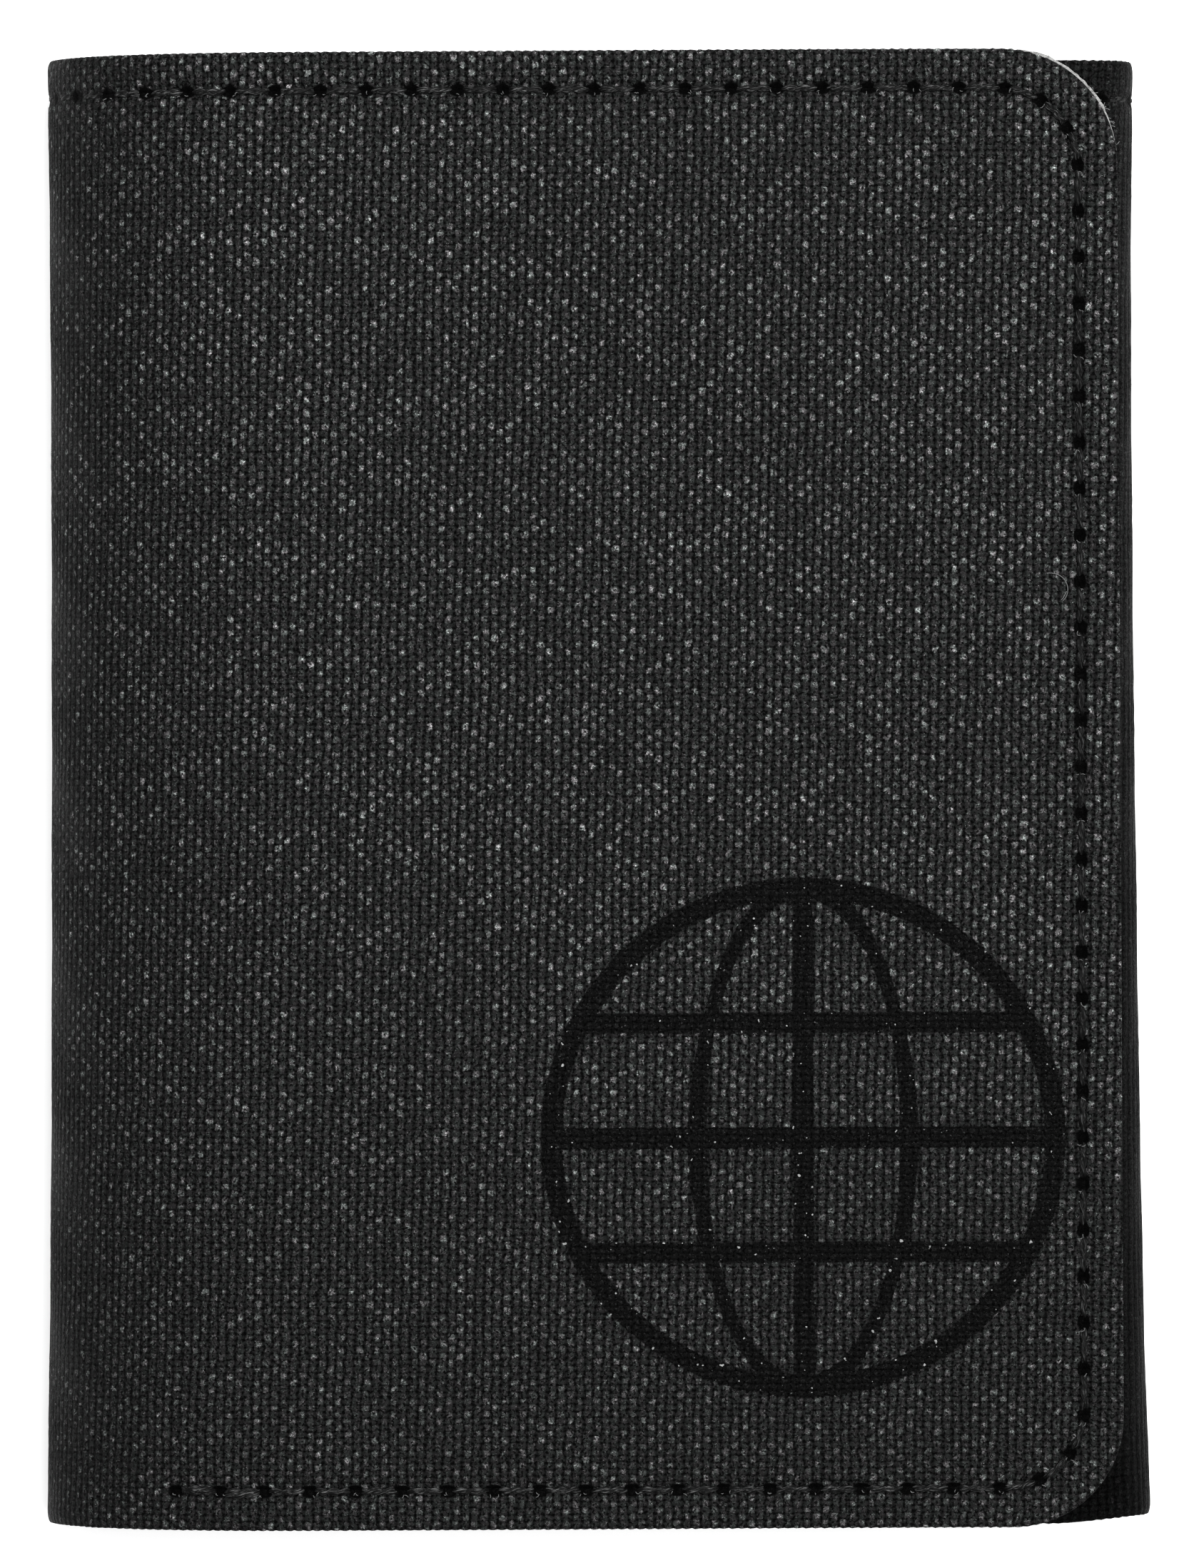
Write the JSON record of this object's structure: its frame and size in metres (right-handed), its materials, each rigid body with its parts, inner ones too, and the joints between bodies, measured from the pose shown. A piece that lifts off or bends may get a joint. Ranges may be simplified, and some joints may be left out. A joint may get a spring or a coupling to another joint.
{
  "type": "passport wallet",
  "caption": "Tri-fold canvas passport wallet with a rounded front cover, a sewn passport sleeve, a ticket pocket and a folded-in flap with card slots.",
  "frame": {"origin": "middle of the underside of the closed wallet, where it rests on a table", "axes": "+Z out of the front cover, +X towards the fold of the inner flap, +Y towards the top edge; the cover's fold is at -X"},
  "size_m": [0.104, 0.14, 0.023],
  "materials": {
    "canvas": "black plain-weave coated canvas, low sheen",
    "board": "pale stiffener board, matte",
    "lining": "fine dark grey lining cloth, matte",
    "tape": "black woven edge tape",
    "thread": "black twisted sewing thread"
  },
  "bodies": {
    "back": {"back_shell": "canvas", "back_board": "board", "back_lining": "lining", "ticket_pocket": "canvas", "ticket_pocket_binding": "tape"},
    "left_spine": {"left_spine_shell": "canvas", "left_spine_lining": "lining"},
    "left_shoulder": {"left_shoulder_shell": "canvas", "left_shoulder_lining": "lining"},
    "cover": {"cover_shell": "canvas", "cover_board": "board", "cover_lining": "lining", "passport_sleeve": "canvas", "passport_sleeve_binding": "tape", "sleeve_hem_top": "lining", "sleeve_hem_bottom": "lining", "sleeve_hem_edge": "lining", "cover_seam_thread": "thread"},
    "right_spine": {"right_spine_shell": "canvas", "right_spine_lining": "lining"},
    "flap": {"flap_shell": "canvas", "flap_board": "board", "flap_lining": "lining", "card_slot_1": "canvas", "card_slot_2": "canvas", "card_slot_3": "canvas"}
  },
  "joints": [
    {"name": "spine_fold", "type": "hinge", "parent": "back", "child": "left_spine", "pos_m": [-0.05093, 0, 0.00107], "axis": [0, -1, 0], "range_deg": [0, 90]},
    {"name": "shoulder_fold", "type": "hinge", "parent": "left_spine", "child": "left_shoulder", "pos_m": [-0.05109, 0, 0.01187], "axis": [0, -1, 0], "range_deg": [0, 45]},
    {"name": "cover_fold", "type": "hinge", "parent": "left_shoulder", "child": "cover", "pos_m": [-0.04137, 0, 0.02159], "axis": [0, -1, 0], "range_deg": [0, 45]},
    {"name": "right_spine_fold", "type": "hinge", "parent": "back", "child": "right_spine", "pos_m": [0.05097, 0, 0.00103], "axis": [0, 1, 0], "range_deg": [0, 90]},
    {"name": "flap_fold", "type": "hinge", "parent": "right_spine", "child": "flap", "pos_m": [0.05097, 0, 0.00857], "axis": [0, 1, 0], "range_deg": [0, 90]}
  ],
  "couplings": [
    {"joint": "spine_fold", "follows": "cover_fold", "ratio": 2},
    {"joint": "shoulder_fold", "follows": "cover_fold", "ratio": 1},
    {"joint": "right_spine_fold", "follows": "cover_fold", "ratio": 2},
    {"joint": "flap_fold", "follows": "cover_fold", "ratio": 2}
  ]
}
